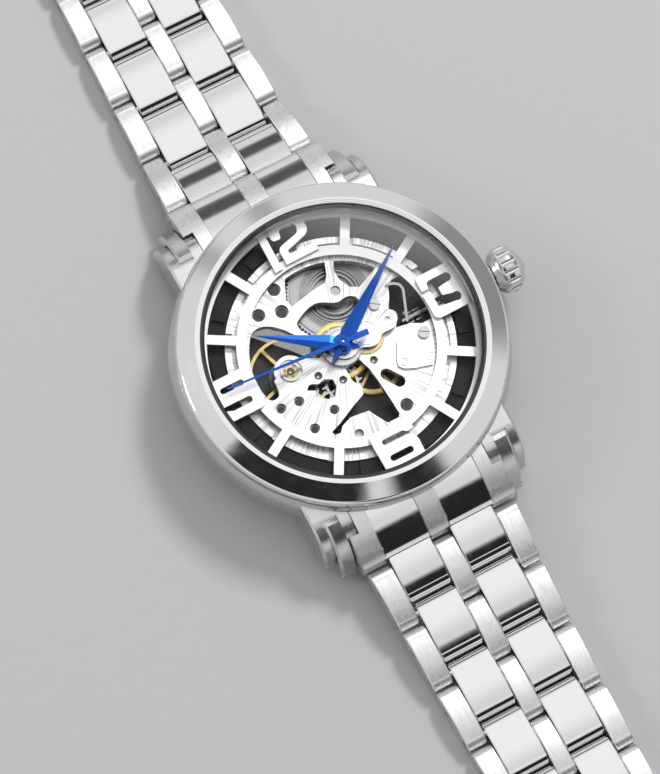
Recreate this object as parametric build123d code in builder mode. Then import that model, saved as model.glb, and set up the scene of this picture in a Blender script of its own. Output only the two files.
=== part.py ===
from build123d import *
import os
from math import atan2, cos, hypot, pi, radians, sin

# Skeleton automatic wristwatch on a five-row steel bracelet, in millimetres.
# The origin is the centre of the flat case back, +Y points to 12 o'clock, +X to the crown and +Z out of
# the dial.
# The bracelet lies open on the same plane as the case back, with its clasp closed on the 12 o'clock half.

# ---- driving dimensions: the case, from the back up ----
CASE_R = 22.0
BACK_TOP_Z = 2.0
CASE_TOP_Z = 9.4
BEZEL_R = 21.2
BEZEL_TOP_Z = 12.25
CRYSTAL_R = 17.8
CRYSTAL_TOP_Z = 12.6
BORE_R = 17.55
DIAL_SEAT_R = 18.1
BACK_WINDOW_R = 13.6

# ---- dial and hands ----
DIAL_Z = 9.0
DIAL_THICK = 0.4
DIAL_R = 18.0
RING_IN_R = 12.1
RING_OUT_R = 13.4
RIM_IN_R = 17.1
SPOKE_WIDTH = 1.25
NUMERAL_TOP_Z = 9.5
NUMERAL_LIMIT_R = 17.5
HOUR_ANGLE = 303.0
MINUTE_ANGLE = 55.0
SECOND_ANGLE = 274.5

# ---- movement levels ----
PLATE_R = 14.8
PLATE_TOP_R = 12.6
PLATE_Z0 = 7.0
PLATE_STEP_Z = 7.6
PLATE_Z1 = 8.2
BRIDGE_Z0 = 3.8
BRIDGE_Z1 = 5.0

# ---- arbor centres on the movement ----
BARREL = (2.9, 6.95)
THIRD = (2.85, -3.35)
ESCAPE = (-1.85, -3.85)
PALLET = (-4.4, -1.95)
BALANCE = (-7.25, 0.2)
MINUTE_WORK = (3.4, 0.0)
CROWN_WHEEL = (10.2, 1.0)

# ---- stem and crown ----
STEM_Z = 5.8
STEM_R = 0.45
CROWN_X0 = 22.3
CROWN_X1 = 26.8

# ---- bracelet ----
LUG_GAP = 22.0
BAR_Y = 22.9
BAR_Z = 4.4
BAR_R = 0.8
HINGE_Y = 25.4
HINGE_Z = 4.4
PITCH = 8.6
KNUCKLE_R = 1.3
CROWNING = 0.3
ROW_GAP = 0.06
JOINT_GAP = 0.12
PIN_R = 0.5
PIN_FIT = 0.05
LINK_WIDTHS = (21.2, 20.3, 19.8, 19.3, 18.9, 18.5, 18.1)
SLOPES_12 = (17.0, 3.0, 0.6, 0.0, 0.0)
SLOPES_6 = (10.0, 8.0, 2.6, 0.0, 0.0, 0.0)
CLASP_LENGTH = 31.0

os.makedirs("parts", exist_ok=True)


def save(builder, name):
    """Label a finished piece and write its STEP file."""
    builder.part.label = name
    export_step(builder.part, f"parts/{name}.step")


def polar(radius, clock):
    """Point at a radius and a clock angle, in degrees clockwise from 12 o'clock."""
    return (radius * sin(radians(clock)), radius * cos(radians(clock)))


def disc(x, y, z0, z1, radius, mode=Mode.ADD):
    """Upright cylinder between two heights."""
    with BuildSketch(Plane.XY.offset(z0)) as profile:
        with Locations((x, y)):
            Circle(radius)
    extrude(profile.sketch, amount=z1 - z0, mode=mode)


def tube(x, y, z0, z1, outer, inner):
    """Upright ring between two heights."""
    with BuildSketch(Plane.XY.offset(z0)) as profile:
        with Locations((x, y)):
            Circle(outer)
            Circle(inner, mode=Mode.SUBTRACT)
    extrude(profile.sketch, amount=z1 - z0)


def slab(points, z0, z1, mode=Mode.ADD):
    """Plate with a straight-sided outline between two heights."""
    with BuildSketch(Plane.XY.offset(z0)) as profile:
        Polygon(*points, align=None)
    extrude(profile.sketch, amount=z1 - z0, mode=mode)


def smooth_slab(points, z0, z1, mode=Mode.ADD):
    """Plate whose outline is one closed smooth curve through a few points."""
    with BuildSketch(Plane.XY.offset(z0)) as profile:
        with BuildLine():
            Spline(*points, periodic=True)
        make_face()
    extrude(profile.sketch, amount=z1 - z0, mode=mode)


def tooth_outline(teeth, root, tip, base=0.30, land=0.13):
    """Outline points of a toothed wheel; base and land are half widths as shares of the tooth pitch."""
    points = []
    for i in range(teeth):
        for radius, share in ((root, -base), (tip, -land), (tip, land), (root, base)):
            angle = 2 * pi * (i + share) / teeth
            points.append((radius * cos(angle), radius * sin(angle)))
    return points


def toothed(x, y, z0, z1, teeth, root, tip, base=0.30, land=0.13):
    """Toothed disc between two heights."""
    with BuildSketch(Plane.XY.offset(z0)) as profile:
        with Locations((x, y)):
            Polygon(*tooth_outline(teeth, root, tip, base, land), align=None)
    extrude(profile.sketch, amount=z1 - z0)


def crossings(x, y, z0, z1, inner, outer, arms, width, turn=0.0):
    """Cut the openings between the arms of a wheel."""
    with BuildSketch(Plane.XY.offset(z0)) as profile:
        with Locations((x, y)):
            Circle(outer)
            Circle(inner, mode=Mode.SUBTRACT)
            for i in range(arms):
                Rectangle(outer + 1, width, rotation=turn + 360 * i / arms,
                          align=(Align.MIN, Align.CENTER), mode=Mode.SUBTRACT)
    extrude(profile.sketch, amount=z1 - z0, mode=Mode.SUBTRACT)


def spiral_outline(r0, r1, turns, thick, power=1.0, steps=24):
    """Closed outline of a flat spiral strip from radius r0 to r1."""
    count = int(turns * steps)
    outer = []
    inner = []
    for i in range(count + 1):
        share = i / count
        radius = r0 + (r1 - r0) * share ** power
        angle = 2 * pi * turns * share
        outer.append(((radius + thick / 2) * cos(angle), (radius + thick / 2) * sin(angle)))
        inner.append(((radius - thick / 2) * cos(angle), (radius - thick / 2) * sin(angle)))
    return outer + inner[::-1]


SHANK_SHARE = 0.48
SCREW_LENGTH = 0.8
SHOCK_SEAT_R = 1.55
BARREL_TIP_R = 6.3
CENTER_PINION_TIP_R = 1.18


def screw(x, y, seat_z, head_r, up, turn=0.0, length=SCREW_LENGTH):
    """Slotted screw whose head stands on a face at seat_z, facing up (1) or down (-1)."""
    head = 0.35
    slot_depth = 0.16
    top = seat_z + up * head
    z0, z1 = sorted((seat_z, top))
    disc(x, y, z0, z1, head_r)
    z0, z1 = sorted((seat_z, seat_z - up * length))
    disc(x, y, z0, z1, head_r * SHANK_SHARE)
    z0, z1 = sorted((top, top - up * slot_depth))
    with BuildSketch(Plane.XY.offset(z0)) as profile:
        with Locations((x, y)):
            Rectangle(3 * head_r, 0.3 * head_r, rotation=turn)
    extrude(profile.sketch, amount=z1 - z0, mode=Mode.SUBTRACT)


# Screws on the dial side: place, face that the head stands on, head radius, slot angle.
BRIDGE_PLATE_TOP = 9.2
COVER_TOP = 8.55
DEEP_SEAT = 7.3
DIAL_SIDE_SCREWS = (
    ((6.2, 2.75), BRIDGE_PLATE_TOP, 0.7, -32),
    ((10.2, -3.2), COVER_TOP, 0.78, -30),
    ((-4.0, 10.65), DEEP_SEAT, 0.7, 20),
    ((-7.35, 8.55), DEEP_SEAT, 0.7, -50),
    ((-4.5, 7.65), DEEP_SEAT, 0.7, 70),
    ((3.75, -10.4), DEEP_SEAT, 0.7, 40),
    ((-10.6, -3.55), DEEP_SEAT, 0.45, 10),
    ((-8.15, -3.75), DEEP_SEAT, 0.45, 55),
    ((-8.05, -7.8), DEEP_SEAT, 0.45, -20),
    ((-4.7, -6.75), DEEP_SEAT, 0.45, 80),
)
DEEP_HOLES = (
    ((-4.0, 10.65), 0.85), ((-7.35, 8.55), 0.85), ((-4.5, 7.65), 0.88), ((3.75, -10.4), 0.85),
    ((-10.6, -3.55), 0.65), ((-8.15, -3.75), 0.65), ((-8.05, -7.8), 0.65), ((-4.7, -6.75), 0.62),
)
BACK_SCREWS = ((-5.2, 12.6), (9.6, 9.8), (12.6, -4.2), (-1.0, -13.4), (6.2, -12.0), (-12.4, 5.6),
               (-12.6, -5.0))
BACK_HEAD_R = 0.75

# Jewelled bearings: the pivots that run in both the main plate and a bridge.
PIVOTS = (THIRD, ESCAPE, PALLET)
JEWEL_R = 0.52
JEWEL_BORE = 0.2
PIVOT_R = 0.16


# ======================= case =======================
LUG_X0 = LUG_GAP / 2 + 0.15
LUG_X1 = 14.6
LUG_ROOT_Y = 15.0
TONGUE_X1 = 13.1
TONGUE_GROOVE = 0.22
TAB_X0 = 9.7
TAB_Y1 = 22.1
TAB_Z0 = 5.45
RECESS_R = 20.75
BAR_TIP_R = 0.45

ARM_BEVEL = 0.3


def arm_outline(inset):
    """Side outline of the lug arm, in Y and Z, with its top and tip drawn in by inset."""
    tip = (23.4 - inset, 3.3)
    crest = (18.6, 8.65 - inset)
    Polyline(crest, (LUG_ROOT_Y, 8.8 - inset), (LUG_ROOT_Y, 2.4), (19.6, 2.0), (22.6, 1.5))
    ThreePointArc((22.6, 1.5), (23.5 - inset, 2.1), tip)
    ThreePointArc(tip, (22.0 - 0.8 * inset, 6.7 - 0.6 * inset), crest)


# One lug arm at the upper right, bevelled on its outer side, with the pocket that its tongue stands in.
with BuildPart() as lug:
    with BuildSketch(Plane.YZ.offset(LUG_X0)):
        with BuildLine():
            arm_outline(0.0)
        make_face()
    extrude(amount=LUG_X1 - ARM_BEVEL - LUG_X0)
    for x, inset in ((LUG_X1 - ARM_BEVEL, 0.0), (LUG_X1, ARM_BEVEL)):
        with BuildSketch(Plane.YZ.offset(x)):
            with BuildLine():
                arm_outline(inset)
            make_face()
    loft()
    with BuildSketch(Plane.YZ.offset(LUG_X0 - 0.1)):
        with BuildLine():
            Polyline((19.6, 8.0), (18.9, 8.0), (18.9, 9.5), (25.0, 9.5), (25.0, 1.0), (22.9, 1.0))
            ThreePointArc((22.9, 1.0), (22.4, 5.4), (19.6, 8.0))
        make_face()
    extrude(amount=TONGUE_X1 - LUG_X0 + 0.1 + TONGUE_GROOVE, mode=Mode.SUBTRACT)

# The tongue in the lug, which runs on past the arm down to the tip.
with BuildPart() as tongue:
    with BuildSketch(Plane.YZ.offset(LUG_X0)):
        with BuildLine():
            Polyline((19.8, 8.75), (19.15, 8.6), (19.15, 6.0), (21.6, 2.6), (22.6, 1.5), (24.7, 1.1))
            ThreePointArc((24.7, 1.1), (25.4, 1.5), (25.3, 2.4))
            ThreePointArc((25.3, 2.4), (23.3, 6.4), (19.8, 8.75))
        make_face()
    extrude(amount=TONGUE_X1 - LUG_X0)
    chamfer(tongue.faces().sort_by(Axis.X)[-1].edges().sort_by(SortBy.LENGTH)[-1:], 0.3)

# The small inner tab beside the lug, which locks into the notch of the bracelet's end piece.
with BuildPart() as tab:
    with BuildSketch(Plane.YZ.offset(TAB_X0)):
        with BuildLine():
            Polyline((19.6, 8.55), (LUG_ROOT_Y, 8.7), (LUG_ROOT_Y, TAB_Z0), (TAB_Y1, TAB_Z0), (TAB_Y1, 7.3))
            ThreePointArc((TAB_Y1, 7.3), (21.1, 8.15), (19.6, 8.55))
        make_face()
    extrude(amount=LUG_X0 - TAB_X0)

with BuildPart() as lugs:
    add(lug.part)
    add(tongue.part)
    add(tab.part)
    with BuildSketch(Plane.YZ.offset(LUG_X0)):
        with Locations((BAR_Y, BAR_Z)):
            Circle(BAR_TIP_R)
    extrude(amount=1.3, mode=Mode.SUBTRACT)
    mirror(about=Plane.YZ)
    mirror(about=Plane.XZ)

TUBE_OUT_R = 1.2
with BuildPart() as case_middle:
    with BuildSketch(Plane.XZ):
        with BuildLine():
            Polyline((21.2, CASE_TOP_Z), (14.0, CASE_TOP_Z), (14.0, BACK_TOP_Z), (20.4, BACK_TOP_Z),
                     (21.3, 2.7))
            ThreePointArc((21.3, 2.7), (CASE_R, 5.4), (21.5, 8.7))
            Line((21.5, 8.7), (21.2, CASE_TOP_Z))
        make_face()
    revolve(axis=Axis.Z)
    for side in (1, -1):
        with BuildSketch(Plane.XY.offset(1.0)):
            with Locations((0, side * 25)):
                Rectangle(2 * LUG_X0, 20)
            Circle(RECESS_R, mode=Mode.SUBTRACT)
        extrude(amount=7.75, mode=Mode.SUBTRACT)
    add(lugs.part)
    disc(0, 0, BACK_TOP_Z, 8.0, BORE_R, Mode.SUBTRACT)
    disc(0, 0, 8.0, CASE_TOP_Z, DIAL_SEAT_R, Mode.SUBTRACT)
    with BuildSketch(Plane.YZ.offset(BORE_R - 1)):
        with Locations((0, STEM_Z)):
            Circle(TUBE_OUT_R)
    extrude(amount=6, mode=Mode.SUBTRACT)
save(case_middle, "case_middle")

# Polished bezel: a straight side, a broad sloping band and two fine steps down to the crystal.
with BuildPart() as bezel:
    with BuildSketch(Plane.XZ):
        with BuildLine():
            Polyline((BEZEL_R, 10.75), (BEZEL_R, CASE_TOP_Z), (DIAL_SEAT_R, CASE_TOP_Z),
                     (DIAL_SEAT_R, 11.95),
                     (18.3, 11.95), (18.3, 12.1), (18.5, 12.1), (18.5, BEZEL_TOP_Z), (18.75, BEZEL_TOP_Z),
                     (20.8, 11.3))
            ThreePointArc((20.8, 11.3), (21.08, 11.07), (BEZEL_R, 10.75))
        make_face()
    revolve(axis=Axis.Z)
    # A fine groove just above the foot.
    with BuildSketch(Plane.XZ):
        Polygon((BEZEL_R - 0.18, 9.95), (BEZEL_R + 0.2, 9.75), (BEZEL_R + 0.2, 10.15), align=None)
    revolve(axis=Axis.Z, mode=Mode.SUBTRACT)
save(bezel, "bezel")

GASKET_Z0 = 11.3
with BuildPart() as crystal:
    disc(0, 0, GASKET_Z0 + 0.2, CRYSTAL_TOP_Z, CRYSTAL_R)
    chamfer(crystal.edges().sort_by(Axis.Z)[-1:], 0.25)
save(crystal, "crystal")

BACK_GASKET = (18.0, 18.7)
with BuildPart() as case_gaskets:
    tube(0, 0, GASKET_Z0, 12.0, DIAL_SEAT_R, CRYSTAL_R)
    tube(0, 0, GASKET_Z0, GASKET_Z0 + 0.2, CRYSTAL_R, 17.5)
    tube(0, 0, 1.6, BACK_TOP_Z, BACK_GASKET[1], BACK_GASKET[0])
save(case_gaskets, "case_gaskets")

# Sloping inner ring between the dial and the crystal.
with BuildPart() as rehaut_ring:
    with BuildSketch(Plane.XZ):
        Polygon((NUMERAL_LIMIT_R + 0.02, DIAL_Z), (DIAL_SEAT_R - 0.05, DIAL_Z),
                (DIAL_SEAT_R - 0.05, GASKET_Z0),
                (17.65, GASKET_Z0), align=None)
    revolve(axis=Axis.Z)
save(rehaut_ring, "rehaut_ring")

BACK_OUT_R = 19.4
NOTCHES = 6
with BuildPart() as case_back_ring:
    with BuildSketch(Plane.XZ):
        Polygon((BACK_WINDOW_R, 0), (18.6, 0), (BACK_OUT_R, 0.8), (BACK_OUT_R, BACK_TOP_Z),
                (BACK_GASKET[1], BACK_TOP_Z),
                (BACK_GASKET[1], 1.6), (BACK_GASKET[0], 1.6), (BACK_GASKET[0], BACK_TOP_Z),
                (17.5, BACK_TOP_Z),
                (17.5, 2.8), (16.6, 2.8), (16.6, 1.5), (14.4, 1.5), (14.4, 0.5), (BACK_WINDOW_R, 0.5),
                align=None)
    revolve(axis=Axis.Z)
    with BuildSketch():
        with PolarLocations(17.2, NOTCHES):
            Rectangle(2.0, 2.4)
    extrude(amount=0.5, mode=Mode.SUBTRACT)
save(case_back_ring, "case_back_ring")

with BuildPart() as case_back_crystal:
    disc(0, 0, 0.0, 0.5, BACK_WINDOW_R - 0.03)
    disc(0, 0, 0.5, 1.5, 14.4)
save(case_back_crystal, "case_back_crystal")

# Plastic ring that holds the movement and carries the dial's rim, with a raised pad under each dial window.
PAD_Z = 8.1
WINDOWS = 12
with BuildPart() as movement_ring:
    tube(0, 0, 3.0, PLATE_STEP_Z, BORE_R - 0.05, PLATE_R + 0.05)
    tube(0, 0, PLATE_STEP_Z, DIAL_Z - DIAL_THICK, BORE_R - 0.05, 17.1)
    for i in range(WINDOWS):
        with BuildSketch(Plane.XY.offset(PLATE_STEP_Z)):
            with BuildLine():
                clock = 15 + 30 * i
                Line(polar(15.1, clock - 5), polar(16.7, clock - 5))
                ThreePointArc(polar(16.7, clock - 5), polar(16.7, clock), polar(16.7, clock + 5))
                Line(polar(16.7, clock + 5), polar(15.1, clock + 5))
                ThreePointArc(polar(15.1, clock + 5), polar(15.1, clock), polar(15.1, clock - 5))
            make_face()
        extrude(amount=PAD_Z - PLATE_STEP_Z)
    with BuildSketch(Plane.YZ.offset(PLATE_R - 1)):
        with Locations((0, STEM_Z)):
            Circle(TUBE_OUT_R)
    extrude(amount=4, mode=Mode.SUBTRACT)
save(movement_ring, "movement_ring")

# ======================= dial =======================
with BuildPart() as dial:
    with BuildSketch(Plane.XY.offset(DIAL_Z - DIAL_THICK)):
        Circle(DIAL_R)
        Circle(RIM_IN_R, mode=Mode.SUBTRACT)
        Circle(RING_OUT_R)
        # Spokes at the hours without a numeral.
        for turn in (30, 60, 120, 150, 210, 240, 300, 330):
            with PolarLocations((RING_OUT_R + RIM_IN_R) / 2, 1, start_angle=turn):
                Rectangle(RIM_IN_R - RING_OUT_R + 0.6, SPOKE_WIDTH)
        Circle(RING_IN_R, mode=Mode.SUBTRACT)
    extrude(amount=DIAL_THICK)
save(dial, "dial")

# The four applied numerals, each drawn in place on the dial.
with BuildPart() as hour_numerals:
    with BuildSketch(Plane.XY.offset(DIAL_Z)):
        Polygon((-3.0, 12.2), (-1.95, 12.25), (-1.9, 17.25), (-2.1, 17.5), (-2.95, 17.45), align=None)
        with BuildLine():
            Polyline((3.5, 12.55), (-1.2, 12.5), (-1.22, 14.2))
            ThreePointArc((-1.22, 14.2), (-1.05, 14.75), (-0.6, 15.05))
            Polyline((-0.6, 15.05), (1.5, 15.6))
            ThreePointArc((1.5, 15.6), (2.05, 15.9), (2.25, 16.4))
            ThreePointArc((2.25, 16.4), (2.1, 16.9), (1.6, 17.1))
            Line((1.6, 17.1), (0.4, 17.08))
            ThreePointArc((0.4, 17.08), (0.0, 16.9), (-0.1, 16.5))
            Polyline((-0.1, 16.5), (-0.3, 15.95), (-1.1, 15.98))
            ThreePointArc((-1.1, 15.98), (-1.35, 16.2), (-1.42, 16.6))
            ThreePointArc((-1.42, 16.6), (-1.35, 17.3), (-0.7, 17.65))
            ThreePointArc((-0.7, 17.65), (1.2, 17.62), (2.6, 17.4))
            ThreePointArc((2.6, 17.4), (3.2, 17.1), (3.42, 16.3))
            ThreePointArc((3.42, 16.3), (3.3, 15.5), (2.75, 15.0))
            Line((2.75, 15.0), (0.2, 14.25))
            ThreePointArc((0.2, 14.25), (-0.2, 13.92), (0.2, 13.62))
            Polyline((0.2, 13.62), (3.4, 13.6), (3.5, 12.55))
        make_face()
    with BuildSketch(Plane.XY.offset(DIAL_Z)):
        with BuildLine():
            Polyline((12.35, 1.4), (12.35, 2.8))
            ThreePointArc((12.35, 2.8), (12.55, 3.3), (13.1, 3.5))
            Line((13.1, 3.5), (16.4, 3.52))
            ThreePointArc((16.4, 3.52), (17.0, 3.3), (17.25, 2.7))
            ThreePointArc((17.25, 2.7), (17.55, 0.3), (17.3, -2.0))
            ThreePointArc((17.3, -2.0), (17.1, -2.45), (16.5, -2.62))
            Line((16.5, -2.62), (13.0, -2.65))
            ThreePointArc((13.0, -2.65), (12.45, -2.4), (12.25, -1.8))
            Polyline((12.25, -1.8), (12.2, 0.95), (13.35, 0.95), (13.35, -1.2), (14.4, -1.4))
            Line((14.4, -1.4), (15.8, -1.55))
            ThreePointArc((15.8, -1.55), (16.7, -1.0), (15.9, -0.45))
            Polyline((15.9, -0.45), (14.5, -0.1), (14.5, 1.0), (16.0, 1.2))
            ThreePointArc((16.0, 1.2), (16.7, 1.8), (16.1, 2.4))
            Line((16.1, 2.4), (13.9, 2.38))
            ThreePointArc((13.9, 2.38), (13.5, 2.2), (13.35, 1.8))
            Polyline((13.35, 1.8), (13.3, 1.4), (12.35, 1.4))
        make_face()
    with BuildSketch(Plane.XY.offset(DIAL_Z)):
        with BuildLine():
            Polyline((-2.9, -17.1), (-2.95, -13.0))
            ThreePointArc((-2.95, -13.0), (-2.8, -12.3), (-2.2, -12.05))
            Line((-2.2, -12.05), (1.9, -12.05))
            ThreePointArc((1.9, -12.05), (2.55, -12.3), (2.8, -13.0))
            Polyline((2.8, -13.0), (2.75, -13.65), (1.8, -13.68), (1.3, -13.3), (-1.35, -13.3))
            ThreePointArc((-1.35, -13.3), (-1.72, -13.67), (-1.35, -14.05))
            Line((-1.35, -14.05), (1.6, -14.05))
            ThreePointArc((1.6, -14.05), (2.35, -14.45), (2.7, -15.3))
            Polyline((2.7, -15.3), (2.62, -17.1), (-2.9, -17.1))
        make_face()
        with Locations((-0.12, -15.95)):
            SlotOverall(3.25, 0.85, mode=Mode.SUBTRACT)
    with BuildSketch(Plane.XY.offset(DIAL_Z)):
        with BuildLine():
            Polyline((-17.15, -0.45), (-13.85, -0.45))
            ThreePointArc((-13.85, -0.45), (-13.4, -0.9), (-13.85, -1.32))
            Polyline((-13.85, -1.32), (-16.2, -1.35), (-17.15, -1.0), (-17.15, -2.4), (-16.9, -2.55),
                     (-12.9, -2.55))
            ThreePointArc((-12.9, -2.55), (-12.35, -2.3), (-12.2, -1.7))
            ThreePointArc((-12.2, -1.7), (-12.05, 0.2), (-12.25, 2.1))
            ThreePointArc((-12.25, 2.1), (-12.55, 2.9), (-13.3, 3.2))
            Polyline((-13.3, 3.2), (-16.8, 3.2), (-17.15, 2.9), (-17.15, -0.45))
        make_face()
        with Locations((-15.0, 1.52)):
            SlotOverall(3.3, 0.78, mode=Mode.SUBTRACT)
    extrude(amount=NUMERAL_TOP_Z - DIAL_Z)
    disc(0, 0, DIAL_Z, NUMERAL_TOP_Z, NUMERAL_LIMIT_R, Mode.INTERSECT)
save(hour_numerals, "hour_numerals")

# ======================= movement: plates and bridges =======================
def opening(points):
    """Straight-sided opening right through the main plate."""
    slab(points, PLATE_Z0, PLATE_Z1, Mode.SUBTRACT)


WALL_IN_R = 14.0
RIM_IN = 13.95
RIM_HEIGHT = 0.4
MINUTE_STUD_R = 0.2
CENTER_HOLE_R = 0.36
ARBOR_HOLE_R = 0.65

with BuildPart() as main_plate:
    disc(0, 0, PLATE_Z0, PLATE_STEP_Z, PLATE_R)
    disc(0, 0, PLATE_STEP_Z, PLATE_Z1, PLATE_TOP_R)
    tube(0, 0, PLATE_STEP_Z, PLATE_STEP_Z + RIM_HEIGHT, PLATE_R, RIM_IN)
    tube(0, 0, BRIDGE_Z1, PLATE_Z0, PLATE_R, WALL_IN_R)
    with BuildSketch(Plane.XY.offset(PLATE_STEP_Z)):
        with PolarLocations(14.4, WINDOWS, start_angle=-3.0):
            Rectangle(1.2, 0.9)
    extrude(amount=RIM_HEIGHT, mode=Mode.SUBTRACT)
    # Opening over the balance, left of the shock setting's round land.
    with BuildSketch(Plane.XY.offset(PLATE_Z0)):
        with BuildLine():
            ThreePointArc((-11.6, -1.3), (-11.45, 2.9), (-9.7, 6.4))
            Spline((-9.7, 6.4), (-8.4, 7.1), (-6.3, 6.25), (-4.4, 4.0), (-2.4, 1.7))
            Polyline((-2.4, 1.7), (-1.7, 0.3), (-3.2, 0.05), (-4.9, 0.9), (-7.25, 1.2), (-9.7, 0.0),
                     (-9.8, -1.3))
            ThreePointArc((-9.8, -1.3), (-10.7, -2.2), (-11.6, -1.3))
        make_face()
        with Locations(BALANCE):
            Circle(2.1, mode=Mode.SUBTRACT)
    extrude(amount=PLATE_Z1 - PLATE_Z0, mode=Mode.SUBTRACT)
    # Two openings over the barrel, left and right of the T-shaped arm, and the eye below it.
    with BuildSketch(Plane.XY.offset(PLATE_Z0)):
        with BuildLine():
            ThreePointArc((-2.1, 11.3), (0.9, 11.45), (3.5, 10.95))
            Polyline((3.5, 10.95), (2.9, 9.3), (2.2, 8.5), (0.2, 8.3), (-3.0, 7.6), (-3.3, 8.8),
                     (-2.1, 11.3))
        make_face()
    extrude(amount=PLATE_Z1 - PLATE_Z0, mode=Mode.SUBTRACT)
    with BuildSketch(Plane.XY.offset(PLATE_Z0)):
        with BuildLine():
            ThreePointArc((4.6, 10.55), (7.0, 9.2), (8.9, 7.3))
            Polyline((8.9, 7.3), (7.4, 6.6), (5.9, 6.0), (4.7, 6.6), (4.05, 8.1), (4.0, 9.4), (4.6, 10.55))
        make_face()
    extrude(amount=PLATE_Z1 - PLATE_Z0, mode=Mode.SUBTRACT)
    smooth_slab([(-3.3, 5.6), (-1.6, 6.4), (0.0, 6.6), (1.3, 6.0), (2.5, 5.5), (3.7, 5.6), (4.9, 4.9),
                 (4.2, 3.3),
                 (2.4, 2.3), (0.0, 1.9), (-2.2, 2.6)], PLATE_Z0, PLATE_Z1, Mode.SUBTRACT)
    # Winding works opening beside the stem, open at the plate's edge.
    opening([(9.2, 4.4), (10.0, 4.95), (15.2, 5.0), (15.2, -2.0), (10.6, -1.9), (9.3, -1.2), (7.4, -0.9),
             (8.2, 0.2),
             (8.3, 1.0), (7.7, 1.6), (8.2, 2.4), (8.7, 3.2)])
    # V-shaped opening between 5 and 6 o'clock, the opening over the lever and the kidney slot.
    opening([(-0.9, -2.7), (1.2, -2.3), (1.8, -4.0), (2.1, -6.5), (2.4, -11.0), (2.0, -11.4), (0.5, -11.4),
             (-0.4, -9.9), (-0.9, -8.9), (-3.4, -8.6), (-4.8, -9.1), (-5.4, -9.8), (-6.2, -9.7),
             (-6.4, -9.2),
             (-5.0, -8.7), (-2.0, -7.3), (-0.5, -6.7), (-0.2, -5.6), (-0.9, -4.5)])
    opening([(-6.6, -3.0), (-6.1, -2.5), (-5.6, -2.55), (-4.9, -2.9), (-3.9, -2.7), (-3.0, -3.2),
             (-3.0, -4.2),
             (-3.8, -5.3), (-4.6, -5.3), (-6.0, -4.2), (-5.6, -3.5)])
    with BuildSketch(Plane.XY.offset(PLATE_Z0)):
        with Locations((3.9, -6.5)):
            SlotCenterToCenter(1.9, 1.5, rotation=-56)
    extrude(amount=PLATE_Z1 - PLATE_Z0, mode=Mode.SUBTRACT)
    for (x, y), radius in DEEP_HOLES:
        disc(x, y, DEEP_SEAT, PLATE_Z1, radius, Mode.SUBTRACT)
    disc(-3.4, -10.95, DEEP_SEAT, PLATE_Z1, 0.6, Mode.SUBTRACT)
    for (x, y), seat, head_r, turn in DIAL_SIDE_SCREWS:
        disc(x, y, seat - SCREW_LENGTH, seat, head_r * SHANK_SHARE, Mode.SUBTRACT)
    for x, y in PIVOTS:
        disc(x, y, PLATE_Z0, PLATE_Z1, JEWEL_R, Mode.SUBTRACT)
    disc(*BALANCE, PLATE_Z0, PLATE_Z1, SHOCK_SEAT_R, Mode.SUBTRACT)
    disc(*BARREL, PLATE_Z0, PLATE_Z1, ARBOR_HOLE_R, Mode.SUBTRACT)
    disc(*MINUTE_WORK, PLATE_Z0, PLATE_Z1, MINUTE_STUD_R, Mode.SUBTRACT)
    disc(0, 0, PLATE_Z0, PLATE_Z1, CENTER_HOLE_R, Mode.SUBTRACT)
    with BuildSketch(Plane.YZ.offset(WALL_IN_R - 1.5)):
        with Locations((0, STEM_Z)):
            Circle(TUBE_OUT_R + 0.1)
    extrude(amount=3, mode=Mode.SUBTRACT)
save(main_plate, "main_plate")

# Ring-shaped shock setting round the upper balance pivot, with its two-legged spring.
with BuildPart() as shock_setting:
    tube(*BALANCE, 7.3, 7.9, SHOCK_SEAT_R, 0.75)
    tube(*BALANCE, 7.9, PLATE_Z1 + 0.05, 1.3, 1.0)
    with BuildSketch(Plane.XY.offset(7.9)):
        with Locations(BALANCE):
            Circle(0.95)
            Circle(0.5, mode=Mode.SUBTRACT)
            with PolarLocations(0.85, 3, start_angle=30):
                Rectangle(0.5, 0.35, mode=Mode.SUBTRACT)
    extrude(amount=0.15)
save(shock_setting, "shock_setting")

# Bridge over the hour and minute wheels, standing on a foot right of the minute wheel.
BRIDGE_PLATE_Z0 = 8.95
MINUTE_CLEAR_R = 2.75
bridge_outline = [(-1.7, -0.6), (-0.9, -1.5), (0.1, -1.9), (1.1, -1.75), (1.9, -1.45), (3.4, -1.9),
                  (4.5, -1.65),
                  (5.3, -1.05), (6.9, -0.95), (7.9, -0.2), (8.1, 0.9), (7.2, 2.0), (7.6, 2.8), (6.9, 3.8),
                  (5.7, 4.1),
                  (4.9, 3.2), (3.8, 2.0), (1.6, 1.75), (0.0, 1.8), (-1.3, 1.3)]
with BuildPart() as motion_works_bridge:
    smooth_slab(bridge_outline, PLATE_Z1, BRIDGE_PLATE_TOP)
    disc(*MINUTE_WORK, PLATE_Z1, BRIDGE_PLATE_Z0, MINUTE_CLEAR_R, Mode.SUBTRACT)
    disc(0, 0, PLATE_Z1, BRIDGE_PLATE_Z0, 3.1, Mode.SUBTRACT)
    disc(0, 0, PLATE_Z1, BRIDGE_PLATE_TOP, 1.02, Mode.SUBTRACT)
    disc(6.75, 0.4, BRIDGE_PLATE_Z0, BRIDGE_PLATE_TOP, 0.36, Mode.SUBTRACT)
    disc(*MINUTE_WORK, BRIDGE_PLATE_Z0, BRIDGE_PLATE_TOP, 0.24, Mode.SUBTRACT)
    with BuildSketch(Plane.XY.offset(BRIDGE_PLATE_TOP - 0.08)):
        with Locations(MINUTE_WORK):
            Circle(1.6)
            Circle(1.5, mode=Mode.SUBTRACT)
    extrude(amount=0.08, mode=Mode.SUBTRACT)
    disc(6.2, 2.75, PLATE_Z1, BRIDGE_PLATE_TOP, 0.7 * SHANK_SHARE, Mode.SUBTRACT)
save(motion_works_bridge, "motion_works_bridge")

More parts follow.
